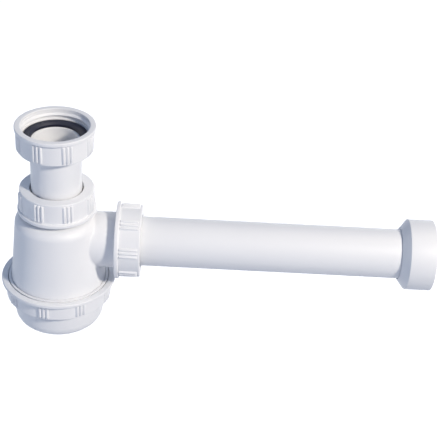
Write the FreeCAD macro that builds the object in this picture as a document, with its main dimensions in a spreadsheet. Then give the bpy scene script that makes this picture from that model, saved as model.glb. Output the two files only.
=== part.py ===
"""Bottle trap for a wash basin, as a parametric document.

The frame has its origin on the inlet axis, on the upper face of the inlet washer, where the basin waste
seats. +Z is up and the outlet pipe runs along +X. Lengths are in millimetres, angles in degrees.
Screw threads are plain: a male thread is shown at its root and a female one at its crest clearance.
"""
import FreeCAD, Part
import os
import re

import Sketcher
from FreeCAD import Placement, Rotation, Vector

SIZES = {
    # The 32 mm pipe that the trap is made for: inlet tube and outlet pipe
    "pipe_r": 16.0,
    "pipe_wall": 1.8,
    # Inlet: the union nut clamps the tube's flange and the washer on a basin waste
    "washer_set": 0.8,
    "washer_play": 0.6,
    "washer_thick": 3.0,
    "washer_bevel": 1.2,
    "tube_flange_play": 0.9,
    "tube_flange_thick": 3.0,
    "pocket_step": 1.0,
    "dip_below": 11.3,
    # Thread shared by the union nut, the neck and the spigot
    "thread_rise": 4.95,
    "thread_depth": 1.4,
    "thread_play": 0.25,
    # Small nut, one moulding for the inlet, the neck and the outlet
    "nut_height": 16.2,
    "nut_wall": 3.4,
    "nut_hole_gap": 1.0,
    "nut_skin": 2.2,
    "nut_flange_reach": 1.6,
    "nut_flange_thick": 2.5,
    "nut_rib_groups": 8,
    # Ring nut below the body
    "base_nut_height": 13.3,
    "base_nut_wall": 2.4,
    "base_nut_skin": 2.4,
    "base_nut_flange_reach": 2.8,
    "base_nut_flange_thick": 2.4,
    "base_nut_rib_groups": 9,
    # Grip ribs, three in a group, and the edges of every nut
    "rib_pitch": 2.42,
    "rib_width": 2.0,
    "rib_crest": 0.9,
    "rib_height": 1.15,
    "rib_end_gap": 1.25,
    "rib_end_slope": 0.8,
    "flange_root": 0.4,
    "nut_edge_round": 0.6,
    "rim_edge_round": 0.5,
    # Turns of the nuts about their own axes
    "inlet_nut_turn": 20.4,
    "neck_nut_turn": 24.0,
    "outlet_nut_turn": 32.9,
    "base_nut_turn": 19.6,
    # Compression seals and the slip rings above them
    "seal_thick": 2.4,
    "seal_toe": 0.8,
    "seal_height": 5.5,
    "seal_stand": 1.0,
    "seal_play": 0.15,
    "seat_play": 0.1,
    "slip_thick": 1.4,
    "slip_play": 0.3,
    "slip_rim_gap": 0.8,
    # Body, from the neck's mouth below the washer's face down to the bead above the foot's thread
    "neck_mouth_drop": 42.9,
    "neck_play": 0.4,
    "neck_nut_gap": 2.7,
    "shoulder_flat": 0.15,
    "shoulder_round": 7.0,
    "bell_flare": 3.8,
    "body_wall": 2.2,
    "foot_gap": 10.3,
    "bead_rise": 2.0,
    "bead_thick": 1.6,
    "bead_groove_width": 0.5,
    "bead_groove_depth": 0.8,
    "bead_show": 0.3,
    # Spigot on the side of the bell, with the socket that takes the pipe
    "spigot_clear": 1.0,
    "spigot_wall": 1.7,
    "spigot_fillet": 1.6,
    "spigot_length": 8.9,
    "socket_play": 0.3,
    "nut_cover": 1.6,
    "stop_set": 0.5,
    # Outlet pipe and its wall flange
    "pipe_length": 211.0,
    "stop_gap": 0.2,
    "wall_flange_reach": 6.85,
    "wall_flange_length": 21.1,
    "wall_flange_cone": 4.5,
    "wall_flange_lip": 0.9,
    "wall_flange_skin": 1.6,
    "wall_flange_play": 0.25,
    "wall_flange_round": 0.6,
    # Base: the ring nut lifts the cup's rim against the seal and the body's end
    "base_thread_rise": 1.0,
    "base_thread_depth": 1.2,
    "base_thread_play": 0.3,
    "bead_play": 0.5,
    "base_seal_thick": 1.8,
    "base_seal_play": 0.5,
    "cup_inset": 1.5,
    "cup_wall": 2.0,
    "cup_rim_thick": 2.0,
    "cup_rim_play": 0.4,
    "cup_play": 0.3,
    "cup_depth": 24.5,
    "cup_round": 8.5,
}

# Formulas used by more than one piece, each built on the ones before it
THREAD = "(pipe_r + thread_rise)"
THREAD_ROOT = f"({THREAD} - thread_depth)"
NUT_BORE = f"({THREAD} + thread_play)"
NUT_POCKET = f"({NUT_BORE} - pocket_step)"
NUT_HOLE = "(pipe_r + nut_hole_gap)"
NUT_BAND = f"({NUT_BORE} + nut_skin)"
PIPE_BORE = "(pipe_r - pipe_wall)"
INLET_RIM = "(nut_height - nut_wall - washer_thick - tube_flange_thick)"
SEAL_SINK = "(seal_height - seal_stand)"
NUT_REACH = "(nut_height - nut_wall - seal_stand - slip_thick)"
SLIP_RIM_R = f"({NUT_BORE} - slip_rim_gap)"
SHOULDER_DROP = f"(neck_mouth_drop + {NUT_REACH} + neck_nut_gap)"
BELL_TOP_R = f"({THREAD_ROOT} + shoulder_flat + shoulder_round)"
BELL_FOOT_R = f"({BELL_TOP_R} + bell_flare)"
BODY_END_R = f"({BELL_FOOT_R} - body_wall)"
SPIGOT_R = "(pipe_r + socket_play + spigot_wall)"
OUTLET_DROP = f"({SHOULDER_DROP} + spigot_clear + {SPIGOT_R})"
SOCKET_START = f"({BELL_FOOT_R} + spigot_length)"
SPIGOT_MOUTH = f"({SOCKET_START} + {NUT_REACH} - nut_cover)"
STOP_REACH = f"({BELL_FOOT_R} + stop_set)"
PIPE_START = f"({STOP_REACH} + stop_gap)"
BEAD_DROP = f"({OUTLET_DROP} + {SPIGOT_R} + foot_gap)"
BEAD_R = f"({BELL_FOOT_R} + bead_rise)"
BASE_THREAD = f"({BELL_FOOT_R} + base_thread_rise)"
BASE_ROOT = f"({BASE_THREAD} - base_thread_depth)"
BASE_BORE = f"({BASE_THREAD} + base_thread_play)"
BASE_BAND = f"({BASE_BORE} + base_nut_skin)"
BASE_NUT_DROP = f"({BEAD_DROP} + bead_show)"
CUP_RIM_DROP = f"({BASE_NUT_DROP} + base_nut_height - base_nut_wall - cup_rim_thick)"
BODY_END_DROP = f"({CUP_RIM_DROP} - base_seal_thick)"
CUP_R = f"({BELL_FOOT_R} - cup_inset)"
CUT_OVER = 1.0
RIB_ROOT = 0.6
RIB_STEP = 0.04

doc = FreeCAD.newDocument("bottle_trap")


def fill_sheet():
    """Write every driving size into an aliased cell of the sheet."""
    sheet = doc.addObject("Spreadsheet::Sheet", "Sizes")
    for row, (alias, number) in enumerate(SIZES.items(), 1):
        sheet.set(f"A{row}", alias)
        sheet.set(f"B{row}", str(number))
        sheet.setAlias(f"B{row}", alias)
    doc.recompute()
    return sheet


def bound(formula):
    """Return a formula of size names as an expression that reads the sheet."""
    return re.sub(r"[a-z]\w*", lambda word: ("Sizes." if word[0] in SIZES else "") + word[0], str(formula))


def value(formula):
    """Return the present number of a formula of size names."""
    return float(sizes.evalExpression(bound(formula)))


def new_body(label, position=("0", "0", "0"), rotation=Rotation()):
    """Start a sub-part at a place worked out from the sizes."""
    body = doc.addObject("PartDesign::Body", label)
    body.Label = label
    body.Placement = Placement(Vector(), rotation)
    for axis, formula in zip("xyz", position):
        body.setExpression(f"Placement.Base.{axis}", bound(formula))
    return body


def new_sketch(body, name, plane, shift=("0", "0", "0")):
    """Attach an empty sketch to one of the body's own origin planes."""
    sketch = body.newObject("Sketcher::SketchObject", name)
    support = next(item for item in body.Origin.OriginFeatures if item.Role == plane)
    sketch.AttachmentSupport = [(support, "")]
    sketch.MapMode = "FlatFace"
    for axis, formula in zip("xyz", shift):
        sketch.setExpression(f"AttachmentOffset.Base.{axis}", bound(formula))
    return sketch


def draw_outline(sketch, corners):
    """Draw a closed outline whose corners lie at formulas of the sizes."""
    points = [Vector(value(across), value(along), 0) for across, along in corners]
    first = sketch.GeometryCount
    last = first + len(points) - 1
    for point, following in zip(points, points[1:] + points[:1]):
        sketch.addGeometry(Part.LineSegment(point, following), False)
    for line, (across, along) in enumerate(corners, first):
        before = last if line == first else line - 1
        sketch.addConstraint(Sketcher.Constraint("Coincident", before, 2, line, 1))
        for kind, formula in (("DistanceX", across), ("DistanceY", along)):
            number = sketch.addConstraint(Sketcher.Constraint(kind, -1, 1, line, 1, value(formula)))
            sketch.setExpression(f"Constraints[{number}]", bound(formula))


def turn(body, name, kind, corners, axis="V_Axis", shift=("0", "0", "0")):
    """Revolve an outline in the XZ plane, as a Revolution or a Groove."""
    sketch = new_sketch(body, name + "_outline", "XZ_Plane", shift)
    draw_outline(sketch, corners)
    feature = body.newObject(f"PartDesign::{kind}", name)
    feature.Profile = sketch
    feature.ReferenceAxis = (sketch, [axis])
    feature.Angle = 360
    doc.recompute()
    return feature


def ring_edges(body, radius, height):
    """Name the body's circular edges of a radius that lie at a height on its own axis."""
    names = []
    for number, edge in enumerate(body.Tip.Shape.Edges, 1):
        if not isinstance(edge.Curve, Part.Circle):
            continue
        off_radius = abs(edge.Curve.Radius - value(radius))
        off_height = abs(edge.Curve.Center.z - value(height))
        if max(off_radius, off_height) < 1e-4:
            names.append(f"Edge{number}")
    return names


def round_edges(body, name, edges, radius):
    """Round named edges of the body's latest feature."""
    base = body.Tip
    fillet = body.newObject("PartDesign::Fillet", name)
    fillet.Base = (base, edges)
    fillet.setExpression("Radius", bound(radius))
    doc.recompute()


def rib_corners(band, place):
    """Return the plan of one tapered grip rib, the given number of pitches beside its group's middle."""
    angle = f"({place} * rib_pitch / {band} * 180 / pi)"
    root, crest = f"({band} - {RIB_ROOT})", f"({band} + rib_height)"
    flank = [(root, "rib_width"), (band, "rib_width"), (crest, "rib_crest")]
    plan = []
    for side, points in ((-1, flank), (1, reversed(flank))):
        for radius, width in points:
            half = f"({side} * {width} / 2)"
            plan.append((f"{radius} * cos({angle}) - {half} * sin({angle})",
                         f"{radius} * sin({angle}) + {half} * cos({angle})"))
    return plan


def make_nut(label, prefix, band, hole, inside, position, rotation):
    """Make a nut with a rim flange at its open end, local z = 0, and ribbed grips behind it."""
    height, floor = f"{prefix}_height", f"{prefix}_height - {prefix}_wall"
    flange, flange_thick = f"({band} + {prefix}_flange_reach)", f"{prefix}_flange_thick"
    body = new_body(label, position, rotation)
    outside = [(flange, "0"), (flange, flange_thick), (f"{band} + flange_root", flange_thick),
               (band, f"{flange_thick} + flange_root"), (band, height), (hole, height), (hole, floor)]
    turn(body, label + "_shell", "Revolution", outside + inside)
    edge = ring_edges(body, band, height)
    round_edges(body, label + "_edge", edge, "nut_edge_round")
    rim = ring_edges(body, flange, "0") + ring_edges(body, flange, flange_thick)
    round_edges(body, label + "_rim", rim, "rim_edge_round")
    plan = new_sketch(body, label + "_rib_plan", "XY_Plane", ("0", "0", flange_thick + " / 2"))
    for place in (-1, 0, 1):
        draw_outline(plan, rib_corners(band, place))
    ribs = body.newObject("PartDesign::Pad", label + "_ribs")
    ribs.Profile = plan
    ribs.setExpression("Length", bound(f"{height} - rib_end_gap - {flange_thick} / 2"))
    doc.recompute()
    pattern = body.newObject("PartDesign::PolarPattern", label + "_grips")
    pattern.Originals = [ribs]
    pattern.Axis = (plan, ["N_Axis"])
    pattern.Angle = 360
    pattern.setExpression("Occurrences", bound(f"{prefix}_rib_groups"))
    body.Tip = pattern
    doc.recompute()
    step, tip = f"{band} + {RIB_STEP}", f"{band} + rib_height"
    end = f"{height} - rib_end_gap"
    turn(body, label + "_rib_ends", "Groove", [
        (f"{tip} + {CUT_OVER}", f"{end} + {CUT_OVER}"), (step, f"{end} + {CUT_OVER}"), (step, end),
        (tip, f"{end} - rib_end_slope"), (f"{tip} + {CUT_OVER}", f"{end} - rib_end_slope")])
    return body


def make_ring(label, corners, position=("0", "0", "0"), rotation=Rotation()):
    """Make a piece that is one turned section about its own z axis."""
    body = new_body(label, position, rotation)
    turn(body, label + "_section", "Revolution", corners)
    return body


def make_seal(label, position, rotation):
    """Make a tapered compression seal, local z = 0 at its broad end and the taper towards -z."""
    inner, outer = "pipe_r + seal_play", "pipe_r + seal_thick"
    section = [(inner, "0"), (outer, "0"), (outer, "-seal_stand"), ("pipe_r + seal_toe", "-seal_height"),
               (inner, "-seal_height")]
    return make_ring(label, section, position, rotation)


def make_slip_ring(label, position, rotation):
    """Make the flat ring that lets a nut turn without dragging its seal."""
    inner = "pipe_r + slip_play"
    section = [(inner, "0"), (SLIP_RIM_R, "0"), (SLIP_RIM_R, "slip_thick"), (inner, "slip_thick")]
    return make_ring(label, section, position, rotation)


def make_inlet():
    """Make the union nut, its washer and the flanged tube that dips into the trap."""
    inside = [(NUT_POCKET, "nut_height - nut_wall"), (NUT_POCKET, INLET_RIM), (NUT_BORE, INLET_RIM),
              (NUT_BORE, "0")]
    nut = make_nut("inlet_nut", "nut", NUT_BAND, NUT_HOLE, inside, ("0", "0", INLET_RIM),
                   upside_down * Rotation(Vector(0, 0, 1), value("inlet_nut_turn")))
    hole, rim = f"{PIPE_BORE} + washer_set", f"{NUT_POCKET} - washer_play"
    section = [(hole, "-washer_thick"), (rim, "-washer_thick"), (rim, "0"), (f"{hole} + washer_bevel", "0"),
               (hole, "-washer_bevel")]
    washer = make_ring("inlet_washer", section)
    flange = f"{NUT_POCKET} - tube_flange_play"
    end = f"washer_thick - {BODY_END_DROP} - dip_below"
    tube = make_ring("inlet_tube", [
        (PIPE_BORE, "0"), (flange, "0"), (flange, "-tube_flange_thick"), ("pipe_r", "-tube_flange_thick"),
        ("pipe_r", end), (PIPE_BORE, end)], ("0", "0", "-washer_thick"))
    return [nut, washer, tube]


def over_neck(beyond):
    """Place a point the given distance above the neck's mouth."""
    return "0", "0", f"{beyond} - neck_mouth_drop"


def over_spigot(beyond):
    """Place a point the given distance outside the spigot's mouth."""
    return f"{SPIGOT_MOUTH} + {beyond}", "0", f"-{OUTLET_DROP}"


def make_compression_set(name, place, rotation, turned):
    """Make the nut, slip ring and seal that close a socket whose mouth is at local z = 0.

    place gives the position of a point at a formula's distance beyond the mouth.
    """
    inside = [(NUT_BORE, "nut_height - nut_wall"), (NUT_BORE, "0")]
    spin = rotation * Rotation(Vector(0, 0, 1), value(turned))
    nut = make_nut(f"{name}_nut", "nut", NUT_BAND, NUT_HOLE, inside, place(f"-{NUT_REACH}"), spin)
    ring = make_slip_ring(f"{name}_slip_ring", place("seal_stand"), rotation)
    seal = make_seal(f"{name}_seal", place("seal_stand"), rotation)
    return [nut, ring, seal]


def make_trap_body():
    """Make the bell, its threaded neck and foot and the side spigot as one moulding."""
    body = new_body("trap_body")
    mouth, shoulder, end = "-neck_mouth_drop", f"-{SHOULDER_DROP}", f"-{BODY_END_DROP}"
    bead_top, bead_foot = f"-{BEAD_DROP}", f"-{BEAD_DROP} - bead_thick"
    groove_r, groove_floor = f"{BELL_FOOT_R} + bead_groove_width", f"{bead_top} - bead_groove_depth"
    turn(body, "bell", "Revolution", [
        ("0", mouth), (THREAD_ROOT, mouth), (THREAD_ROOT, shoulder), (BELL_TOP_R, shoulder),
        (BELL_FOOT_R, bead_top), (BELL_FOOT_R, groove_floor), (groove_r, groove_floor), (groove_r, bead_top),
        (BEAD_R, bead_top), (BEAD_R, bead_foot), (BASE_ROOT, bead_foot), (BASE_ROOT, end), ("0", end)])
    round_edges(body, "shoulder", ring_edges(body, BELL_TOP_R, shoulder), "shoulder_round")
    axis_shift = ("0", f"-{OUTLET_DROP}", "0")
    inner_reach = f"{BELL_TOP_R} / 2"
    turn(body, "spigot", "Revolution", [
        (inner_reach, "0"), (inner_reach, SPIGOT_R), (SOCKET_START, SPIGOT_R), (SOCKET_START, THREAD_ROOT),
        (SPIGOT_MOUTH, THREAD_ROOT), (SPIGOT_MOUTH, "0")], "H_Axis", axis_shift)
    round_edges(body, "spigot_root", spigot_joint(body), "spigot_fillet")
    seat_mouth, seat_toe = "pipe_r + seal_thick + seat_play", "pipe_r + seal_toe + seat_play"
    seat_depth = f"{SEAL_SINK} + seat_play"
    neck_bore, over_mouth = "pipe_r + neck_play", f"{mouth} + {CUT_OVER}"
    seat_end, ceiling = f"{mouth} - ({seat_depth})", f"{shoulder} - body_wall"
    chamber_top_r = f"{BELL_TOP_R} - body_wall"
    turn(body, "chamber", "Groove", [
        ("0", over_mouth), (seat_mouth, over_mouth), (seat_mouth, mouth), (seat_toe, seat_end),
        (neck_bore, seat_end), (neck_bore, ceiling), (chamber_top_r, ceiling), (BODY_END_R, bead_top),
        (BODY_END_R, f"{end} - {CUT_OVER}"), ("0", f"{end} - {CUT_OVER}")])
    inner_edge = ring_edges(body, chamber_top_r, ceiling)
    round_edges(body, "chamber_shoulder", inner_edge, "shoulder_round - body_wall")
    socket, over_mouth = "pipe_r + socket_play", f"{SPIGOT_MOUTH} + {CUT_OVER}"
    seat_end = f"{SPIGOT_MOUTH} - ({seat_depth})"
    turn(body, "spigot_bore", "Groove", [
        (inner_reach, "0"), (inner_reach, PIPE_BORE), (STOP_REACH, PIPE_BORE), (STOP_REACH, socket),
        (seat_end, socket), (seat_end, seat_toe), (SPIGOT_MOUTH, seat_mouth), (over_mouth, seat_mouth),
        (over_mouth, "0")], "H_Axis", axis_shift)
    return body


def spigot_joint(body):
    """Name the edges along which the spigot's outside runs into the bell."""
    shape = body.Tip.Shape
    names = []
    for number, edge in enumerate(shape.Edges, 1):
        sides = [face.Surface for face in shape.ancestorsOfType(edge, Part.Face)]
        spigot = [side for side in sides if isinstance(side, Part.Cylinder) and abs(side.Axis.x) > 0.99]
        if len(spigot) == 1 and not isinstance(edge.Curve, Part.Circle):
            if abs(spigot[0].Radius - value(SPIGOT_R)) < 1e-4:
                names.append(f"Edge{number}")
    return names


def make_outlet():
    """Make the straight pipe and the wall flange that slides on it."""
    pipe = make_ring("outlet_pipe", [
        (PIPE_BORE, "0"), ("pipe_r", "0"), ("pipe_r", "pipe_length"), (PIPE_BORE, "pipe_length")],
        (PIPE_START, "0", f"-{OUTLET_DROP}"), lengthwise)
    hole, outer = "pipe_r + wall_flange_play", "pipe_r + wall_flange_reach"
    inner = f"{outer} - wall_flange_skin"
    flange = make_ring("wall_flange", [
        (hole, "0"), (f"{hole} + wall_flange_lip", "0"), (outer, "wall_flange_cone"),
        (outer, "wall_flange_length"), (inner, "wall_flange_length"),
        (inner, "wall_flange_cone + wall_flange_skin"), (hole, "wall_flange_skin")],
        (f"{PIPE_START} + pipe_length - wall_flange_length", "0", f"-{OUTLET_DROP}"), lengthwise)
    edges = ring_edges(flange, outer, "wall_flange_cone") + ring_edges(flange, outer, "wall_flange_length")
    round_edges(flange, "wall_flange_edges", edges, "wall_flange_round")
    return [pipe, flange]


def make_base():
    """Make the ring nut, the flat seal and the cup that closes the trap from below."""
    mouth_r, mouth_depth = f"{BEAD_R} + bead_play", "bead_thick - bead_show + bead_play"
    inside = [(BASE_BORE, "base_nut_height - base_nut_wall"), (BASE_BORE, mouth_depth),
              (mouth_r, mouth_depth), (mouth_r, "0")]
    nut = make_nut("base_nut", "base_nut", BASE_BAND, f"({CUP_R} + cup_play)", inside,
                   ("0", "0", f"-{BASE_NUT_DROP}"),
                   upside_down * Rotation(Vector(0, 0, 1), value("base_nut_turn")))
    seal_rim = f"{BASE_BORE} - base_seal_play"
    seal = make_ring("base_seal", [(BODY_END_R, "0"), (seal_rim, "0"), (seal_rim, "base_seal_thick"),
                                   (BODY_END_R, "base_seal_thick")], ("0", "0", f"-{CUP_RIM_DROP}"))
    cup = new_body("base_cup", ("0", "0", f"-{CUP_RIM_DROP}"))
    rim = f"{BASE_BORE} - cup_rim_play"
    inner, well = f"{CUP_R} - cup_wall", "cup_wall - cup_depth"
    turn(cup, "cup_section", "Revolution", [
        ("0", "-cup_depth"), (CUP_R, "-cup_depth"), (CUP_R, "-cup_rim_thick"), (rim, "-cup_rim_thick"),
        (rim, "0"), (inner, "0"), (inner, well), ("0", well)])
    round_edges(cup, "cup_foot", ring_edges(cup, CUP_R, "-cup_depth"), "cup_round")
    round_edges(cup, "cup_well", ring_edges(cup, inner, well), "cup_round - cup_wall")
    return [nut, seal, cup]


def check(parts):
    """Stop unless every object has built and every sub-part is one valid solid."""
    for item in doc.Objects:
        if "Invalid" in item.State or "Error" in item.State:
            raise RuntimeError(f"{item.Label} failed: {item.State}")
    for part in parts:
        if part.Shape.isNull() or not part.Shape.isValid() or len(part.Shape.Solids) != 1:
            raise RuntimeError(f"{part.Label} is not one valid solid")


sizes = fill_sheet()
upright = Rotation()
upside_down = Rotation(Vector(1, 0, 0), 180)
lengthwise = Rotation(Vector(0, 1, 0), 90)
pieces = make_inlet()
pieces += make_compression_set("neck", over_neck, upright, "neck_nut_turn")
pieces.append(make_trap_body())
pieces += make_compression_set("outlet", over_spigot, lengthwise, "outlet_nut_turn")
pieces += make_outlet()
pieces += make_base()
doc.recompute()
check(pieces)
os.makedirs("parts", exist_ok=True)
for piece in pieces:
    piece.Shape.exportStep(f"parts/{piece.Label}.step")
    print(f"{piece.Label}: {piece.Shape.Volume:.0f} mm3")
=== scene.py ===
"""Dresses a packed white plastic bottle trap and lights it as in its catalogue picture.

Sizes in the classes are in millimetres and become metres in the meshes. The frame has its origin on the
inlet axis at the washer's upper face, with +Z up and +X along the outlet pipe.
"""
import logging
import math
from dataclasses import dataclass, field
from enum import Enum
from typing import Any

import bmesh
import bpy
from mathutils import Matrix, Vector

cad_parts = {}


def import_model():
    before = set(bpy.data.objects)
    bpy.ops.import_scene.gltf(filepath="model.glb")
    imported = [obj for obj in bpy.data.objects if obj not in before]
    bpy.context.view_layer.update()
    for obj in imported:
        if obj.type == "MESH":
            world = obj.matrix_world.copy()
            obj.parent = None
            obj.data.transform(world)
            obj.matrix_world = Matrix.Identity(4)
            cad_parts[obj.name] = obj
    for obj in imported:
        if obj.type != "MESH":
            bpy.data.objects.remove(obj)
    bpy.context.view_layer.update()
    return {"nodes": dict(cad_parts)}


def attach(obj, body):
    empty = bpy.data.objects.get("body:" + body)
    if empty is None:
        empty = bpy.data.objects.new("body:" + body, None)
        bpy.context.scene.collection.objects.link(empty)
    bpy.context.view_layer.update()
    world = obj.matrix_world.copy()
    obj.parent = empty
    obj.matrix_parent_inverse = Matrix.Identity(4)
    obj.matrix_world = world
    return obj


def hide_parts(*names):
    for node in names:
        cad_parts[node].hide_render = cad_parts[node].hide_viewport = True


LOG = logging.getLogger("bottle_trap")
MM = 0.001
MERGE = 2e-6
SMOOTH_BELOW = math.radians(34)
FRAME_PX = 440
PLAIN_SEGMENTS = 160
FINE_SEGMENTS = 192
THREAD_SEGMENTS = 96
THREAD_TIP = 0.05
# Pitch of the pipe threads, the gap round the pipe in its nuts, and the groups of ribs on those nuts.
PIPE_PITCH = 2.309
HOLE_GAP = 1.0
PIPE_NUT_GRIPS = 8
# Edge radii of the mouldings, in millimetres.
CRISP, FINE, EASED, SOFT, BROAD = 0.2, 0.3, 0.4, 0.5, 0.6


def hex_to_linear(code: str) -> tuple[float, float, float, float]:
    """Turn an sRGB hex colour into linear light.

    Args:
        code: six hex digits after a hash.

    Returns:
        Linear red, green and blue, and an alpha of 1.
    """
    channels = [int(code[place:place + 2], 16) / 255 for place in (1, 3, 5)]
    linear = [c / 12.92 if c <= 0.04045 else ((c + 0.055) / 1.055) ** 2.4 for c in channels]
    return (*linear, 1.0)


def add_node(tree: bpy.types.NodeTree, kind: str, inputs: dict[Any, Any] | None = None,
             **settings: Any) -> bpy.types.Node:
    """Add a node with its settings, values and links.

    Args:
        tree: the tree that takes the node.
        kind: the node's type name.
        inputs: input sockets by name or number, each with a value or the socket that feeds it.
        settings: the node's own properties.

    Returns:
        The new node.
    """
    node = tree.nodes.new(kind)
    for name, setting in settings.items():
        setattr(node, name, setting)
    for key, given in (inputs or {}).items():
        if isinstance(given, bpy.types.NodeSocket):
            tree.links.new(given, node.inputs[key])
        else:
            node.inputs[key].default_value = given
    return node


@dataclass(frozen=True)
class MouldedFinish:
    """A moulded plastic or rubber surface, with its tone, peel and gloss."""

    name: str
    slot: str
    colour: str
    shade: str
    gloss: tuple[float, float]
    ior: float
    specular: float
    tone_mm: float
    peel_mm: float
    peel_depth_mm: float
    bleed: float = 0.0
    bleed_mm: float = 0.5
    bleed_reach: tuple[float, float, float] = (1.0, 0.95, 0.9)
    tone_noise: tuple[float, float] = (3.0, 0.55)
    peel_noise: tuple[float, float] = (2.0, 0.5)
    noise_span: tuple[float, float] = (0.3, 0.7)

    def _noise(self, tree: bpy.types.NodeTree, place: bpy.types.NodeSocket, size_mm: float,
               grain: tuple[float, float]) -> bpy.types.NodeSocket:
        """Add a noise pattern.

        Args:
            tree: the material's tree.
            place: the coordinates that it is laid on.
            size_mm: the size of its patches.
            grain: its detail and roughness.

        Returns:
            The pattern's value.
        """
        noise = add_node(tree, "ShaderNodeTexNoise", {
            "Vector": place, "Scale": 1 / (size_mm * MM), "Detail": grain[0], "Roughness": grain[1]})
        return noise.outputs["Fac"]

    def material(self) -> bpy.types.Material:
        """Return the finish as a material, made once."""
        found = bpy.data.materials.get(self.name)
        if found:
            return found
        material = bpy.data.materials.new(self.name)
        material.use_nodes = True
        tree = material.node_tree
        tree.nodes.clear()
        place = add_node(tree, "ShaderNodeTexCoord").outputs["Object"]
        tone = self._noise(tree, place, self.tone_mm, self.tone_noise)
        peel = self._noise(tree, place, self.peel_mm, self.peel_noise)
        colour = add_node(tree, "ShaderNodeMix", {
            0: tone, 6: hex_to_linear(self.colour), 7: hex_to_linear(self.shade)}, data_type="RGBA")
        gloss = add_node(tree, "ShaderNodeMapRange", {
            "Value": tone, "From Min": self.noise_span[0], "From Max": self.noise_span[1],
            "To Min": self.gloss[0], "To Max": self.gloss[1]})
        bump = add_node(tree, "ShaderNodeBump", {
            "Height": peel, "Distance": self.peel_depth_mm * MM, "Strength": 1.0})
        shader = add_node(tree, "ShaderNodeBsdfPrincipled", {
            "Base Color": colour.outputs[2], "Roughness": gloss.outputs[0], "IOR": self.ior,
            "Normal": bump.outputs[0], "Specular IOR Level": self.specular,
            "Subsurface Weight": self.bleed, "Subsurface Scale": self.bleed_mm * MM,
            "Subsurface Radius": self.bleed_reach})
        add_node(tree, "ShaderNodeOutputMaterial", {"Surface": shader.outputs[0]})
        return material


# Injection-moulded white polypropylene: an even, slightly cool white with a soft satin gloss. The melt's
# flow leaves broad faint tone patches, and the mould leaves a shallow peel, drawn wider than the real 0.3 mm
# to show.
POLYPROPYLENE = MouldedFinish(
    name="moulded_white_polypropylene", slot="white_polypropylene", colour="#EEEFF1", shade="#E8E9EC",
    gloss=(0.42, 0.52), ior=1.49, specular=0.5, tone_mm=22.0, peel_mm=1.1, peel_depth_mm=0.006)
# Extruded polypropylene pipe: the die leaves it a little glossier and smoother than the mouldings.
EXTRUDED_PIPE = MouldedFinish(
    name="extruded_white_polypropylene", slot="white_polypropylene", colour="#EEEFF1", shade="#E9EAED",
    gloss=(0.38, 0.46), ior=1.49, specular=0.5, tone_mm=34.0, peel_mm=1.6, peel_depth_mm=0.004)
# Moulded EPDM rubber: blue-black and matt, with a paler bloom in patches and a fine sandy grain.
RUBBER = MouldedFinish(
    name="moulded_black_rubber", slot="black_rubber", colour="#0D1224", shade="#151B33",
    gloss=(0.42, 0.56), ior=1.52, specular=0.4, tone_mm=5.0, peel_mm=0.35, peel_depth_mm=0.012)
# Natural low-density polyethylene: a waxy, faintly warm white that lets some light through.
POLYETHYLENE = MouldedFinish(
    name="natural_polyethylene", slot="slip_ring_polyethylene", colour="#E8E6DE", shade="#DFDDD4",
    gloss=(0.42, 0.52), ior=1.51, specular=0.5, tone_mm=9.0, peel_mm=0.8, peel_depth_mm=0.008,
    bleed=0.25, bleed_mm=0.8)


class Stance(Enum):
    """The way that a turned piece's own axis lies in the part's frame."""

    UP = (0.0, "Z")
    DOWN = (180.0, "X")
    OUT = (90.0, "Y")

    def matrix(self, position: tuple[float, float, float], turn: float = 0.0) -> Matrix:
        """Place a local frame.

        Args:
            position: the local origin in the part's frame, in millimetres.
            turn: the piece's turn about its own axis, in degrees.

        Returns:
            The matrix from local to part coordinates, in metres.
        """
        angle, axis = self.value
        spin = Matrix.Rotation(math.radians(turn), 4, "Z")
        lie = Matrix.Rotation(math.radians(angle), 4, axis)
        return Matrix.Translation(Vector(position) * MM) @ lie @ spin


class Flank(Enum):
    """The side of a wall that a screw thread stands on."""

    OUTSIDE = 1
    INSIDE = -1


@dataclass(frozen=True)
class Corner:
    """One corner of a turned section, with its rounding and how far the grip ribs rise there."""

    r: float
    z: float
    round: float = 0.0
    rib: float = 0.0


def round_section(corners: list[Corner], steps: int = 5) -> list[Corner]:
    """Round the corners of a closed section.

    Args:
        corners: the section's corners in order.
        steps: the number of lines in each arc.

    Returns:
        The section with its arcs drawn as short lines.
    """
    drawn = []
    for before, corner, after in zip(corners[-1:] + corners[:-1], corners, corners[1:] + corners[:1]):
        if not corner.round:
            drawn.append(corner)
            continue
        here = Vector((corner.r, corner.z))
        back = (Vector((before.r, before.z)) - here).normalized()
        ahead = (Vector((after.r, after.z)) - here).normalized()
        half = back.angle(ahead) / 2
        centre = here + (back + ahead).normalized() * (corner.round / math.sin(half))
        setback = corner.round / math.tan(half)
        first, last = here + back * setback - centre, here + ahead * setback - centre
        for step in range(steps + 1):
            point = centre + first.slerp(last, step / steps).normalized() * corner.round
            drawn.append(Corner(point.x, point.y))
    return drawn


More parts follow.
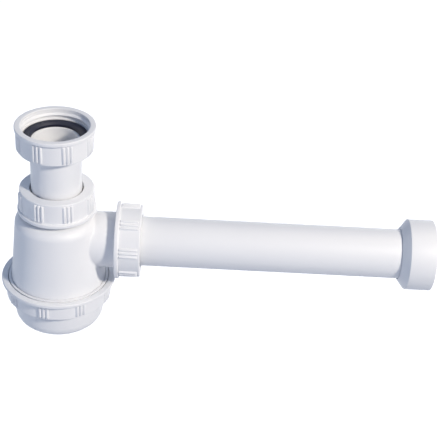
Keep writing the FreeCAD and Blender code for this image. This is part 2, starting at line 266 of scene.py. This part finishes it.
def sweep_section(name: str, section: list[Corner], columns: list[tuple[float, float]],
                  closed: bool = True) -> bpy.types.Mesh:
    """Sweep a section about the local z axis.

    Args:
        name: the mesh's name.
        section: the drawn section, anticlockwise or clockwise, in millimetres.
        columns: for each copy of the section, its angle in radians and the ribs' rise in millimetres.
        closed: whether the last copy joins the first.

    Returns:
        A mesh of quads with its poles merged and its faces pointing out.
    """
    mesh = bpy.data.meshes.new(name)
    shape = bmesh.new()
    rings = []
    for angle, rise in columns:
        across, along = math.cos(angle), math.sin(angle)
        ring = []
        for corner in section:
            radius = (corner.r + corner.rib * rise) * MM
            ring.append(shape.verts.new((radius * across, radius * along, corner.z * MM)))
        rings.append(ring)
    pairs = list(zip(rings, rings[1:] + rings[:1]))
    for ring, following in pairs if closed else pairs[:-1]:
        for number in range(len(section)):
            after = (number + 1) % len(section)
            shape.faces.new((ring[number], ring[after], following[after], following[number]))
    bmesh.ops.remove_doubles(shape, verts=shape.verts, dist=MERGE)
    bmesh.ops.recalc_face_normals(shape, faces=shape.faces)
    shape.to_mesh(mesh)
    shape.free()
    return mesh


def full_turn(segments: int) -> list[tuple[float, float]]:
    """Lay out evenly spaced columns with no ribs, for a plain turned piece.

    Args:
        segments: the number of columns.

    Returns:
        Angles in radians, each with a rise of 0.
    """
    return [(2 * math.pi * number / segments, 0.0) for number in range(segments)]


def run_tree(mesh: bpy.types.Mesh, tree: bpy.types.NodeTree, inputs: dict[str, Any]) -> bpy.types.Mesh:
    """Run a geometry tree on a mesh and keep the plain result.

    Args:
        mesh: the mesh that goes in.
        tree: the geometry tree.
        inputs: values for the tree's named inputs.

    Returns:
        The mesh that comes out, with no modifier.
    """
    holder = bpy.data.objects.new(mesh.name + "_maker", mesh)
    bpy.context.scene.collection.objects.link(holder)
    modifier = holder.modifiers.new(tree.name, "NODES")
    modifier.node_group = tree
    for item in tree.interface.items_tree:
        if item.item_type == "SOCKET" and item.in_out == "INPUT" and item.name in inputs:
            modifier[item.identifier] = inputs[item.name]
    graph = bpy.context.evaluated_depsgraph_get()
    made = bpy.data.meshes.new_from_object(holder.evaluated_get(graph), depsgraph=graph)
    holder.modifiers.remove(modifier)
    bpy.data.objects.remove(holder)
    return made


def start_tree(name: str, sockets: dict[str, str]) -> tuple[bpy.types.NodeTree, bpy.types.Node]:
    """Start a geometry tree with named inputs.

    Args:
        name: the tree's name.
        sockets: each input's name and socket type.

    Returns:
        The tree and its input node.
    """
    tree = bpy.data.node_groups.new(name, "GeometryNodeTree")
    for label, kind in sockets.items():
        tree.interface.new_socket(label, in_out="INPUT", socket_type=kind)
    tree.interface.new_socket("Geometry", in_out="OUTPUT", socket_type="NodeSocketGeometry")
    return tree, tree.nodes.new("NodeGroupInput")


def close_tree(tree: bpy.types.NodeTree, geometry: bpy.types.NodeSocket,
               material: bpy.types.NodeSocket) -> None:
    """End a geometry tree in realised, merged geometry with its material.

    Args:
        tree: the tree to end.
        geometry: the socket that gives the geometry.
        material: the socket that gives the material.
    """
    real = add_node(tree, "GeometryNodeRealizeInstances", {"Geometry": geometry})
    whole = add_node(tree, "GeometryNodeMergeByDistance", {"Geometry": real.outputs[0], "Distance": MERGE})
    painted = add_node(tree, "GeometryNodeSetMaterial", {"Geometry": whole.outputs[0], "Material": material})
    add_node(tree, "NodeGroupOutput", {"Geometry": painted.outputs[0]})


def grip_tree() -> bpy.types.NodeTree:
    """Return the tree that repeats one ribbed sector round a nut, made once."""
    found = bpy.data.node_groups.get("repeat_grip_sector")
    if found:
        return found
    tree, given = start_tree("repeat_grip_sector", {
        "Sector": "NodeSocketGeometry", "Groups": "NodeSocketInt", "Material": "NodeSocketMaterial"})
    step = add_node(tree, "ShaderNodeMath", {0: 2 * math.pi, 1: given.outputs["Groups"]}, operation="DIVIDE")
    number = add_node(tree, "GeometryNodeInputIndex")
    angle = add_node(tree, "ShaderNodeMath", {0: number.outputs[0], 1: step.outputs[0]}, operation="MULTIPLY")
    turn = add_node(tree, "ShaderNodeCombineXYZ", {"Z": angle.outputs[0]})
    points = add_node(tree, "GeometryNodePoints", {"Count": given.outputs["Groups"]})
    ring = add_node(tree, "GeometryNodeInstanceOnPoints", {
        "Points": points.outputs[0], "Instance": given.outputs["Sector"], "Rotation": turn.outputs[0]})
    close_tree(tree, ring.outputs[0], given.outputs["Material"])
    return tree


def thread_tree() -> bpy.types.NodeTree:
    """Return the tree that runs a thread's ridge along a helix and fades its two ends, made once."""
    found = bpy.data.node_groups.get("run_screw_thread")
    if found:
        return found
    number = "NodeSocketFloat"
    tree, given = start_tree("run_screw_thread", {
        "Holder": "NodeSocketGeometry", "Radius": number, "Turns": number, "Length": number, "Depth": number,
        "Root": number, "Crest": number, "Rake": number, "Lean": number, "Shift": number, "Fade": number,
        "Material": "NodeSocketMaterial"})
    path = add_node(tree, "GeometryNodeCurveSpiral", {
        "Resolution": THREAD_SEGMENTS, "Rotations": given.outputs["Turns"],
        "Start Radius": given.outputs["Radius"], "End Radius": given.outputs["Radius"],
        "Height": given.outputs["Length"]})
    upright = add_node(tree, "GeometryNodeSetCurveNormal", {"Curve": path.outputs[0]}, mode="Z_UP")
    along = add_node(tree, "GeometryNodeSplineParameter")
    left = add_node(tree, "ShaderNodeMath", {0: 1.0, 1: along.outputs["Factor"]}, operation="SUBTRACT")
    nearest = add_node(tree, "ShaderNodeMath", {0: along.outputs["Factor"], 1: left.outputs[0]},
                       operation="MINIMUM")
    fade = add_node(tree, "ShaderNodeMapRange", {
        "Value": nearest.outputs[0], "From Max": given.outputs["Fade"], "To Min": THREAD_TIP, "To Max": 1.0})
    ridge = add_node(tree, "GeometryNodeCurvePrimitiveQuadrilateral", {
        "Height": given.outputs["Depth"], "Bottom Width": given.outputs["Root"],
        "Top Width": given.outputs["Crest"], "Offset": given.outputs["Rake"]}, mode="TRAPEZOID")
    lean = add_node(tree, "ShaderNodeCombineXYZ", {"Z": given.outputs["Lean"]})
    shift = add_node(tree, "ShaderNodeCombineXYZ", {"X": given.outputs["Shift"]})
    profile = add_node(tree, "GeometryNodeTransform", {
        "Geometry": ridge.outputs[0], "Translation": shift.outputs[0], "Rotation": lean.outputs[0]})
    swept = add_node(tree, "GeometryNodeCurveToMesh", {
        "Curve": upright.outputs[0], "Profile Curve": profile.outputs[0], "Scale": fade.outputs[0],
        "Fill Caps": True})
    close_tree(tree, swept.outputs[0], given.outputs["Material"])
    return tree


@dataclass
class ScrewThread:
    """A right-hand thread's ridge on a wall; its rake moves the crest along from the root's middle."""

    name: str
    wall_r: float
    pitch: float
    length: float
    start: float
    flank: Flank
    depth: float = 1.15
    root: float = 1.45
    crest: float = 0.55
    rake: float = 0.0
    start_angle: float = 0.0
    sink: float = 0.12
    fade_turns: float = 0.22

    def build(self, finish: MouldedFinish) -> bpy.types.Mesh:
        """Run the ridge along its helix.

        Args:
            finish: the finish that the ridge takes.

        Returns:
            The ridge in the local frame of its nut or neck.
        """
        turns = self.length / self.pitch
        side = self.flank.value
        sizes = {"Radius": self.wall_r * MM, "Turns": turns, "Length": self.length * MM,
                 "Depth": self.depth * MM, "Root": self.root * MM, "Crest": self.crest * MM,
                 "Rake": self.rake * MM, "Lean": side * math.pi / 2,
                 "Shift": side * (self.sink - self.depth / 2) * MM, "Fade": self.fade_turns / turns,
                 "Material": finish.material()}
        mesh = run_tree(bpy.data.meshes.new(self.name), thread_tree(), sizes)
        spin = Matrix.Rotation(math.radians(self.start_angle), 4, "Z")
        mesh.transform(Matrix.Translation((0, 0, self.start * MM)) @ spin)
        return mesh


def join_meshes(name: str, parts: list[bpy.types.Mesh]) -> bpy.types.Mesh:
    """Put meshes of one finish into one.

    Args:
        name: the joined mesh's name.
        parts: the meshes, all with the same material.

    Returns:
        The joined mesh with that material.
    """
    shape = bmesh.new()
    for part in parts:
        shape.from_mesh(part)
    mesh = bpy.data.meshes.new(name)
    mesh.materials.append(parts[0].materials[0])
    shape.to_mesh(mesh)
    shape.free()
    return mesh


@dataclass
class Piece:
    """A finished mesh, the CAD node it stands for and the body it rides on."""

    mesh: bpy.types.Mesh
    node: str
    body: str
    finish: MouldedFinish
    added: str = ""

    def show(self) -> bpy.types.Object:
        """Make the object, dress it and tie it to the frame.

        Returns:
            The object, named for its node or for what it adds to one.
        """
        name = self.added or self.node + "_dressed"
        shown = bpy.data.objects.new(name, self.mesh)
        bpy.context.scene.collection.objects.link(shown)
        if not self.mesh.materials:
            self.mesh.materials.append(None)
        self.mesh.materials[0] = self.finish.material()
        self.mesh.shade_smooth()
        self.mesh.set_sharp_from_angle(angle=SMOOTH_BELOW)
        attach(shown, self.body)
        if not self.added:
            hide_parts(self.node)
        LOG.info("%s: %d faces on %s", name, len(self.mesh.polygons), self.body)
        return shown


def dress_nodes(frame: dict[str, Any], finishes: dict[str, MouldedFinish]) -> None:
    """Give CAD nodes that keep their shape a better material.

    Args:
        frame: the loaded frame.
        finishes: the finish of each node by name.
    """
    for name, finish in finishes.items():
        node = frame["nodes"][name]
        for slot in node.material_slots:
            slot.material = finish.material()
        LOG.info("%s: kept from the frame with %s", name, finish.name)


@dataclass
class GripRibs:
    """The grip of a nut: groups of three round-topped ribs."""

    groups: int
    pitch: float = 2.42
    width: float = 2.0
    height: float = 1.15
    in_group: int = 3
    half_contour: tuple[tuple[float, float], ...] = ((0.14, 0.95), (0.25, 0.78), (0.37, 0.42), (0.5, 0.0))
    plain_step: float = 3.0

    def columns(self, band_r: float) -> list[tuple[float, float]]:
        """Lay out one sector from the middle of one bare stretch to the next.

        Args:
            band_r: the radius that the ribs stand on.

        Returns:
            Angles in radians with the ribs' rise in millimetres.
        """
        edge = math.pi / self.groups
        mirrored = [(-share, rise) for share, rise in reversed(self.half_contour)]
        contour = [*mirrored, (0.0, 1.0), *self.half_contour]
        ribs = []
        for number in range(self.in_group):
            middle = (number - (self.in_group - 1) / 2) * self.pitch
            ribs += [((middle + share * self.width) / band_r, rise * self.height) for share, rise in contour]
        bare = edge + ribs[0][0]
        steps = max(2, round(math.degrees(bare) / self.plain_step))
        lead = [(-edge + bare * step / steps, 0.0) for step in range(steps)]
        return lead + ribs + [(-angle, 0.0) for angle, _ in reversed(lead)]


@dataclass
class GripNut:
    """A nut with a rim flange at its open end, local z = 0, and ribbed grips behind it."""

    node: str
    body: str
    stance: Stance
    position: tuple[float, float, float]
    turn: float
    inside: list[Corner]
    hole_r: float
    ribs: GripRibs
    thread: ScrewThread
    height: float = 16.2
    wall: float = 3.4
    band_r: float = 23.4
    flange_r: float = 25.0
    flange_thick: float = 2.5
    rim_round: float = 0.55
    root_round: float = 0.4
    edge_round: float = 0.6
    hole_round: float = 0.35
    rib_start: float = 0.45
    rib_lead: float = 0.7
    rib_lead_bend: tuple[float, float] = (0.5, 0.7)
    rib_end_gap: float = 1.25
    rib_end_slope: float = 0.8
    rib_end_bend: tuple[float, float] = (0.4, 0.72)

    def section(self) -> list[Corner]:
        """Return the nut's section, with the rise of the ribs along its band."""
        low = self.flange_thick + self.rib_start
        high = self.height - self.rib_end_gap
        lead_share, lead_rise = self.rib_lead_bend
        end_share, end_rise = self.rib_end_bend
        corners = [
            Corner(self.flange_r, 0.0, self.rim_round),
            Corner(self.flange_r, self.flange_thick, self.rim_round),
            Corner(self.band_r, self.flange_thick, self.root_round),
            Corner(self.band_r, low),
            Corner(self.band_r, low + self.rib_lead * lead_share, rib=lead_rise),
            Corner(self.band_r, low + self.rib_lead, rib=1.0),
            Corner(self.band_r, high - self.rib_end_slope, rib=1.0),
            Corner(self.band_r, high - self.rib_end_slope * end_share, rib=end_rise),
            Corner(self.band_r, high),
            Corner(self.band_r, self.height, self.edge_round),
            Corner(self.hole_r, self.height, self.hole_round),
            Corner(self.hole_r, self.height - self.wall, CRISP)]
        return round_section(corners + self.inside)

    def build(self, finish: MouldedFinish) -> Piece:
        """Repeat one sector round the nut and add its thread.

        Args:
            finish: the nut's finish.

        Returns:
            The nut in the part's frame.
        """
        columns = self.ribs.columns(self.band_r)
        sector = sweep_section(self.node + "_sector", self.section(), columns, closed=False)
        inputs = {"Groups": self.ribs.groups, "Material": finish.material()}
        shell = run_tree(sector, grip_tree(), inputs)
        mesh = join_meshes(self.node, [shell, self.thread.build(finish)])
        mesh.transform(self.stance.matrix(self.position, self.turn))
        return Piece(mesh, self.node, self.body, finish)


def turned(node: str, body: str, corners: list[Corner], stance: Stance,
           position: tuple[float, float, float], finish: MouldedFinish,
           segments: int = PLAIN_SEGMENTS) -> Piece:
    """Turn a rounded section into a piece.

    Args:
        node: the CAD node that the piece stands for.
        body: the body that it rides on.
        corners: the section in its local frame.
        stance: the way its axis lies.
        position: its local origin in the part's frame.
        finish: its finish.
        segments: the number of columns round it.

    Returns:
        The piece in the part's frame.
    """
    mesh = sweep_section(node, round_section(corners), full_turn(segments))
    mesh.transform(stance.matrix(position))
    return Piece(mesh, node, body, finish)


@dataclass
class InletSet:
    """The union nut, its washer and the flanged tube that dips into the trap."""

    pipe_r: float = 16.0
    bore_r: float = 14.2
    nut_bore_r: float = 21.2
    nut_floor: float = 12.8
    nut_turn: float = 20.4
    pocket_r: float = 20.2
    pocket_round: float = 0.15
    rim_z: float = 6.8
    washer_r: tuple[float, float] = (15.0, 19.6)
    washer_thick: float = 3.0
    washer_bevel: float = 1.2
    washer_rim_round: float = 0.45
    washer_lip_round: float = 0.25
    flange_r: float = 19.3
    flange_thick: float = 3.0
    tube_end: float = -122.0
    thread_start: float = 1.5
    thread_length: float = 3.9
    thread_angle: float = 212.0

    def build(self) -> list[Piece]:
        """Build the nut, the washer and the tube."""
        thread = ScrewThread("inlet_thread", self.nut_bore_r, PIPE_PITCH, self.thread_length,
                             self.thread_start, Flank.INSIDE, depth=1.3, root=1.7, crest=0.35, rake=0.6,
                             start_angle=self.thread_angle)
        inside = [Corner(self.pocket_r, self.nut_floor, EASED),
                  Corner(self.pocket_r, self.rim_z, self.pocket_round),
                  Corner(self.nut_bore_r, self.rim_z, CRISP), Corner(self.nut_bore_r, 0.0, SOFT)]
        nut = GripNut("inlet_nut", "union_nut", Stance.DOWN, (0, 0, self.rim_z), self.nut_turn, inside,
                      self.pipe_r + HOLE_GAP, GripRibs(PIPE_NUT_GRIPS), thread)
        low, high = self.washer_r
        washer = [Corner(low, -self.washer_thick, EASED), Corner(high, -self.washer_thick, EASED),
                  Corner(high, 0.0, self.washer_rim_round), Corner(low + self.washer_bevel, 0.0, FINE),
                  Corner(low, -self.washer_bevel, self.washer_lip_round)]
        top = -self.washer_thick
        foot = top - self.flange_thick
        tube = [Corner(self.bore_r, top, SOFT), Corner(self.flange_r, top, FINE),
                Corner(self.flange_r, foot, EASED), Corner(self.pipe_r, foot, BROAD),
                Corner(self.pipe_r, self.tube_end, BROAD), Corner(self.bore_r, self.tube_end, SOFT)]
        origin = (0.0, 0.0, 0.0)
        return [nut.build(POLYPROPYLENE),
                turned("inlet_washer", "inlet", washer, Stance.UP, origin, RUBBER),
                turned("inlet_tube", "inlet", tube, Stance.UP, origin, POLYPROPYLENE)]


@dataclass
class CompressionJoint:
    """A nut over a threaded socket whose mouth is at local z = 0, with the socket's own thread."""

    name: str
    stance: Stance
    mouth: tuple[float, float, float]
    turn: float
    pipe_r: float = 16.0
    nut_bore_r: float = 21.2
    socket_r: float = 19.55
    nut_reach: float = 10.4
    nut_floor: float = 12.8
    turning_room: float = 0.03
    male_end_gap: float = 0.6
    male_length: float = 8.0
    male_depth: float = 1.45
    female_lead: float = 0.8
    female_length: float = 8.2
    female_depth: float = 0.82

    def build(self) -> list[Piece]:
        """Build the nut and the socket's thread, their ridges half a pitch apart.

        The nut's ridge is the lower one, so that the slip ring passes it as the nut backs off.

        Returns:
            The nut and the thread that is added to the trap's body.
        """
        male_start = -self.male_length - self.male_end_gap
        wanted = male_start + PIPE_PITCH / 2 + self.nut_reach + PIPE_PITCH * self.turn / 360
        start = self.female_lead + (wanted - self.female_lead) % PIPE_PITCH
        female = ScrewThread(self.name + "_nut_thread", self.nut_bore_r, PIPE_PITCH, self.female_length,
                             start, Flank.INSIDE, depth=self.female_depth)
        floor = self.nut_floor + self.turning_room
        inside = [Corner(self.nut_bore_r, floor, EASED), Corner(self.nut_bore_r, 0.0, SOFT)]
        axis = self.stance.matrix((0, 0, 0)) @ Vector((0, 0, 1))
        open_end = tuple(Vector(self.mouth) - axis * self.nut_reach)
        nut = GripNut(f"{self.name}_nut", f"{self.name}_nut", self.stance, open_end, self.turn, inside,
                      self.pipe_r + HOLE_GAP, GripRibs(PIPE_NUT_GRIPS), female, wall=GripNut.height - floor)
        male = ScrewThread(self.name + "_thread", self.socket_r, PIPE_PITCH, self.male_length, male_start,
                           Flank.OUTSIDE, depth=self.male_depth).build(POLYPROPYLENE)
        male.transform(self.stance.matrix(self.mouth))
        return [nut.build(POLYPROPYLENE),
                Piece(male, "trap_body", "trap", POLYPROPYLENE, self.name + "_socket_thread")]


@dataclass
class OutletSet:
    """The straight pipe and the wall flange that slides on it."""

    pipe_r: float = 16.0
    bore_r: float = 14.2
    start_x: float = 31.2
    length: float = 211.0
    drop: float = 75.0
    flange_r: float = 22.85
    flange_length: float = 21.1
    cone: float = 4.5
    lip: float = 0.9
    skin: float = 1.6
    play: float = 0.25

    def build(self) -> list[Piece]:
        """Build the pipe and the wall flange."""
        pipe = [Corner(self.bore_r, 0.0, FINE), Corner(self.pipe_r, 0.0, SOFT),
                Corner(self.pipe_r, self.length, SOFT), Corner(self.bore_r, self.length, FINE)]
        hole, inner = self.pipe_r + self.play, self.flange_r - self.skin
        flange = [Corner(hole, 0.0, CRISP), Corner(hole + self.lip, 0.0, FINE),
                  Corner(self.flange_r, self.cone, BROAD), Corner(self.flange_r, self.flange_length, BROAD),
                  Corner(inner, self.flange_length, EASED), Corner(inner, self.cone + self.skin, SOFT),
                  Corner(hole, self.skin, FINE)]
        place = (self.start_x, 0.0, -self.drop)
        flange_place = (self.start_x + self.length - self.flange_length, 0.0, -self.drop)
        return [turned("outlet_pipe", "pipe", pipe, Stance.OUT, place, EXTRUDED_PIPE, FINE_SEGMENTS),
                turned("wall_flange", "flange", flange, Stance.OUT, flange_place, POLYPROPYLENE,
                       FINE_SEGMENTS)]


@dataclass
class BaseSet:
    """The ring nut and the round cup that close the trap from below."""

    nut_top: float = -103.6
    nut_height: float = 13.3
    nut_wall: float = 2.4
    nut_band_r: float = 34.2
    nut_flange_r: float = 37.0
    nut_flange_thick: float = 2.4
    nut_grips: int = 9
    bore_r: float = 31.8
    mouth_r: float = 33.0
    mouth_depth: float = 1.8
    turn: float = 19.6
    cup_top: float = -112.5
    cup_r: float = 29.0
    cup_gap: float = 0.3
    cup_rim_r: float = 31.4
    cup_rim_thick: float = 2.0
    cup_wall: float = 2.0
    cup_depth: float = 24.5
    cup_round: float = 8.5
    foot_r: float = 30.3
    foot_end: float = -110.7
    pitch: float = 3.0
    foot_end_gap: float = 0.5
    foot_length: float = 4.6
    nut_thread_lead: float = 0.4
    nut_thread_length: float = 5.0

    def build(self) -> list[Piece]:
        """Build the ring nut, the foot's thread and the cup."""
        floor = self.nut_height - self.nut_wall
        inside = [Corner(self.bore_r, floor, FINE), Corner(self.bore_r, self.mouth_depth, CRISP),
                  Corner(self.mouth_r, self.mouth_depth, CRISP), Corner(self.mouth_r, 0.0, EASED)]
        ridge = {"depth": 1.0, "root": 1.7, "crest": 0.7}
        male_start = self.foot_end + self.foot_end_gap
        # The nut hangs upside down, so its own heights and angles count the other way from the foot's.
        wanted = self.nut_top - male_start - self.pitch / 2 + self.pitch * self.turn / 360
        first = self.mouth_depth + self.nut_thread_lead
        start = first + (wanted - first) % self.pitch
        female = ScrewThread("base_nut_thread", self.bore_r, self.pitch, self.nut_thread_length, start,
                             Flank.INSIDE, **ridge)
        nut = GripNut("base_nut", "base_nut", Stance.DOWN, (0, 0, self.nut_top), self.turn, inside,
                      self.cup_r + self.cup_gap, GripRibs(self.nut_grips), female, height=self.nut_height,
                      wall=self.nut_wall, band_r=self.nut_band_r, flange_r=self.nut_flange_r,
                      flange_thick=self.nut_flange_thick)
        male = ScrewThread("foot_thread", self.foot_r, self.pitch, self.foot_length, male_start,
                           Flank.OUTSIDE, **ridge).build(POLYPROPYLENE)
        inner, floor_z = self.cup_r - self.cup_wall, self.cup_wall - self.cup_depth
        cup = [Corner(0.0, -self.cup_depth), Corner(self.cup_r, -self.cup_depth, self.cup_round),
               Corner(self.cup_r, -self.cup_rim_thick, EASED),
               Corner(self.cup_rim_r, -self.cup_rim_thick, FINE), Corner(self.cup_rim_r, 0.0, FINE),
               Corner(inner, 0.0, FINE), Corner(inner, floor_z, self.cup_round - self.cup_wall),
               Corner(0.0, floor_z)]
        return [nut.build(POLYPROPYLENE), Piece(male, "trap_body", "trap", POLYPROPYLENE, "foot_thread"),
                turned("base_cup", "cup", cup, Stance.UP, (0, 0, self.cup_top), POLYPROPYLENE, FINE_SEGMENTS)]


@dataclass
class PhotoCamera:
    """The camera of the catalogue picture, found from the part's own edges in it."""

    focal_px: float = 1141.85
    azimuth: float = -1.53
    elevation: float = 32.68
    roll: float = 3.75
    distance: float = 730.1
    target: tuple[float, float, float] = (103.81, 0.0, -56.0)
    sensor: float = 36.0
    clip: tuple[float, float] = (0.01, 20.0)

    def build(self) -> None:
        """Make the camera and set it as the scene's."""
        turn, rise, roll = (math.radians(angle) for angle in (self.azimuth, self.elevation, self.roll))
        right = Vector((math.cos(turn), math.sin(turn), 0))
        back = Vector((math.sin(turn) * math.cos(rise), -math.cos(turn) * math.cos(rise), math.sin(rise)))
        up = back.cross(right)
        across = right * math.cos(roll) + up * math.sin(roll)
        axes = (across, up * math.cos(roll) - right * math.sin(roll), back)
        data = bpy.data.cameras.new("photo_camera")
        data.sensor_width = self.sensor
        data.lens = self.focal_px / FRAME_PX * self.sensor
        data.clip_start, data.clip_end = self.clip
        camera = bpy.data.objects.new("photo_camera", data)
        bpy.context.scene.collection.objects.link(camera)
        place = Vector(self.target) * MM + back * self.distance * MM
        camera.matrix_world = Matrix.Translation(place) @ Matrix(axes).transposed().to_4x4()
        bpy.context.scene.camera = camera


@dataclass
class SoftBox:
    """A square studio lamp that faces the part; a dull one lights it without a highlight."""

    name: str
    towards: tuple[float, float, float]
    distance: float
    size: float
    watts: float
    colour: str
    dull: bool = False
    aim: tuple[float, float, float] = (0.08, 0.0, -0.06)

    def build(self) -> None:
        """Hang the lamp and turn it to the part."""
        data = bpy.data.lights.new(self.name, "AREA")
        data.shape, data.size, data.energy = "SQUARE", self.size, self.watts
        data.color = hex_to_linear(self.colour)[:3]
        lamp = bpy.data.objects.new(self.name, data)
        bpy.context.scene.collection.objects.link(lamp)
        away = Vector(self.towards).normalized()
        lamp.location = Vector(self.aim) + away * self.distance
        lamp.rotation_euler = away.to_track_quat("Z", "Y").to_euler()
        lamp.visible_glossy = not self.dull


@dataclass
class Studio:
    """A plain pale floor under the part, a pale surround and soft light from the right.

    Each lamp has its name, direction, distance and size in metres, watts and colour.
    """

    floor_z: float = -0.62
    floor_half: float = 6.0
    floor_colour: str = "#A9AFBC"
    glow_colour: str = "#FFFCF5"
    floor_glow: float = 0.90
    glow_reach: tuple[float, float] = (1.2, 4.5)
    sky_colour: str = "#AECEFF"
    sky_strength: float = 0.33
    lamps: list[SoftBox] = field(default_factory=lambda: [
        SoftBox("key_light", (0.60, -0.55, 0.58), 2.4, 0.26, 50.0, "#FFF6E8"),
        SoftBox("top_light", (0.42, 0.05, 0.90), 1.3, 0.5, 1.8, "#FFE6BC"),
        SoftBox("front_fill", (-0.70, -0.70, 0.05), 1.3, 1.0, 2.3, "#FFF4F6"),
        SoftBox("low_fill", (-0.80, -0.30, -0.35), 1.3, 1.0, 3.2, "#E4F9FF"),
        SoftBox("back_fill", (0.20, 0.97, -0.14), 1.6, 0.9, 17.0, "#FFFFFF", dull=True)])

    def build(self) -> None:
        """Build the floor, the surround and the lamps."""
        self._floor()
        self._surround()
        for lamp in self.lamps:
            lamp.build()
        bpy.context.scene.view_settings.view_transform = "Standard"

    def _seen(self, tree: bpy.types.NodeTree) -> bpy.types.NodeSocket:
        """Tell the rays that show the background: from the camera, mirrored or let through.

        Args:
            tree: the tree that asks.

        Returns:
            A socket that is 1 for such rays and 0 for all others.
        """
        path = add_node(tree, "ShaderNodeLightPath")
        mirrored = add_node(tree, "ShaderNodeMath", {
            0: path.outputs["Is Camera Ray"], 1: path.outputs["Is Glossy Ray"]}, operation="MAXIMUM")
        either = add_node(tree, "ShaderNodeMath", {
            0: mirrored.outputs[0], 1: path.outputs["Is Transmission Ray"]}, operation="MAXIMUM")
        return either.outputs[0]

    def _floor(self) -> None:
        """Lay the floor, which keeps soft shadows, fades to white far off and is clear from below."""
        half, height = self.floor_half, self.floor_z
        mesh = bpy.data.meshes.new("floor")
        mesh.from_pydata([(-half, -half, height), (half, -half, height), (half, half, height),
                          (-half, half, height)], [], [(0, 1, 2, 3)])
        floor = bpy.data.objects.new("floor", mesh)
        bpy.context.scene.collection.objects.link(floor)
        material = bpy.data.materials.new("pale_floor_board")
        material.use_nodes = True
        tree = material.node_tree
        tree.nodes.clear()
        board = add_node(tree, "ShaderNodeBsdfDiffuse", {"Color": hex_to_linear(self.floor_colour)})
        place = add_node(tree, "ShaderNodeNewGeometry")
        reach = add_node(tree, "ShaderNodeVectorMath", {0: place.outputs["Position"]}, operation="LENGTH")
        fade = add_node(tree, "ShaderNodeMapRange", {
            "Value": reach.outputs["Value"], "From Min": self.glow_reach[0], "From Max": self.glow_reach[1],
            "To Min": self.floor_glow, "To Max": 1.0})
        glow = add_node(tree, "ShaderNodeMath", {0: self._seen(tree), 1: fade.outputs[0]},
                        operation="MULTIPLY")
        white = add_node(tree, "ShaderNodeEmission", {
            "Color": hex_to_linear(self.glow_colour), "Strength": glow.outputs[0]})
        top = add_node(tree, "ShaderNodeAddShader", {0: board.outputs[0], 1: white.outputs[0]})
        below = add_node(tree, "ShaderNodeMath", {
            0: add_node(tree, "ShaderNodeLightPath").outputs["Is Camera Ray"],
            1: place.outputs["Backfacing"]}, operation="MULTIPLY")
        clear = add_node(tree, "ShaderNodeBsdfTransparent")
        both = add_node(tree, "ShaderNodeMixShader", {
            0: below.outputs[0], 1: top.outputs[0], 2: clear.outputs[0]})
        add_node(tree, "ShaderNodeOutputMaterial", {"Surface": both.outputs[0]})
        mesh.materials.append(material)

    def _surround(self) -> None:
        """Light the part from a cool pale surround that shows white to the camera."""
        world = bpy.data.worlds.new("pale_surround")
        bpy.context.scene.world = world
        world.use_nodes = True
        tree = world.node_tree
        tree.nodes.clear()
        sky = add_node(tree, "ShaderNodeBackground", {
            "Color": hex_to_linear(self.sky_colour), "Strength": self.sky_strength})
        white = add_node(tree, "ShaderNodeBackground", {"Color": (1, 1, 1, 1), "Strength": 1.0})
        mix = add_node(tree, "ShaderNodeMixShader", {
            0: self._seen(tree), 1: sky.outputs[0], 2: white.outputs[0]})
        add_node(tree, "ShaderNodeOutputWorld", {"Surface": mix.outputs[0]})


def main() -> None:
    """Load the frame, build every sub-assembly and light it."""
    logging.basicConfig(level=logging.INFO, format="%(name)s: %(message)s")
    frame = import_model()
    PhotoCamera().build()
    Studio().build()
    sets = [InletSet(), CompressionJoint("neck", Stance.UP, mouth=(0, 0, -42.9), turn=24.0),
            CompressionJoint("outlet", Stance.OUT, mouth=(48.2, 0, -75.0), turn=32.9), OutletSet(), BaseSet()]
    for assembly in sets:
        for piece in assembly.build():
            piece.show()
    dress_nodes(frame, {
        "trap_body": POLYPROPYLENE, "neck_seal": RUBBER, "outlet_seal": RUBBER, "base_seal": RUBBER,
        "neck_slip_ring": POLYETHYLENE, "outlet_slip_ring": POLYETHYLENE})


if __name__ == "__main__":
    main()
